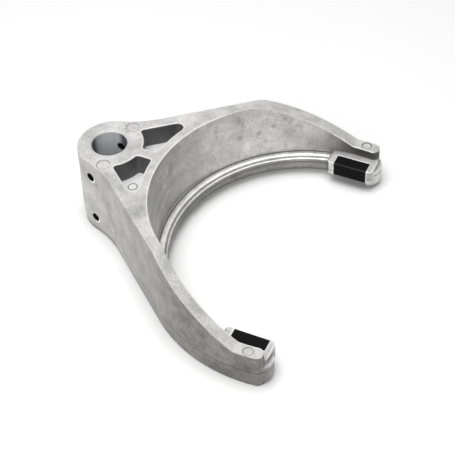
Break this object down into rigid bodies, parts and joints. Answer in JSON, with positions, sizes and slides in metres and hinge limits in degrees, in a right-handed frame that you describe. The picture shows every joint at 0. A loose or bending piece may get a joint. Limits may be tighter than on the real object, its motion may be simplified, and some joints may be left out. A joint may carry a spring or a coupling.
{
  "type": "transmission shift fork",
  "caption": "Cast aluminium selector fork with a rail bore, cross-pin holes and a C-shaped arch whose arm tips carry plastic pads for a sleeve groove.",
  "frame": {"origin": "on the rail bore's axis, in the plane of the flat underside", "axes": "+Z along the rail bore, up from the underside; +X from the bore towards the open side of the arch; +Y towards the far arm"},
  "size_m": [0.1915, 0.2206, 0.064],
  "materials": {
    "cast_aluminium": "die-cast, matt with a fine speckle",
    "pad_plastic": "moulded, matt black"
  },
  "bodies": {
    "root": {"fork_casting": "cast_aluminium", "far_pad": "pad_plastic", "near_pad": "pad_plastic"}
  },
  "joints": []
}
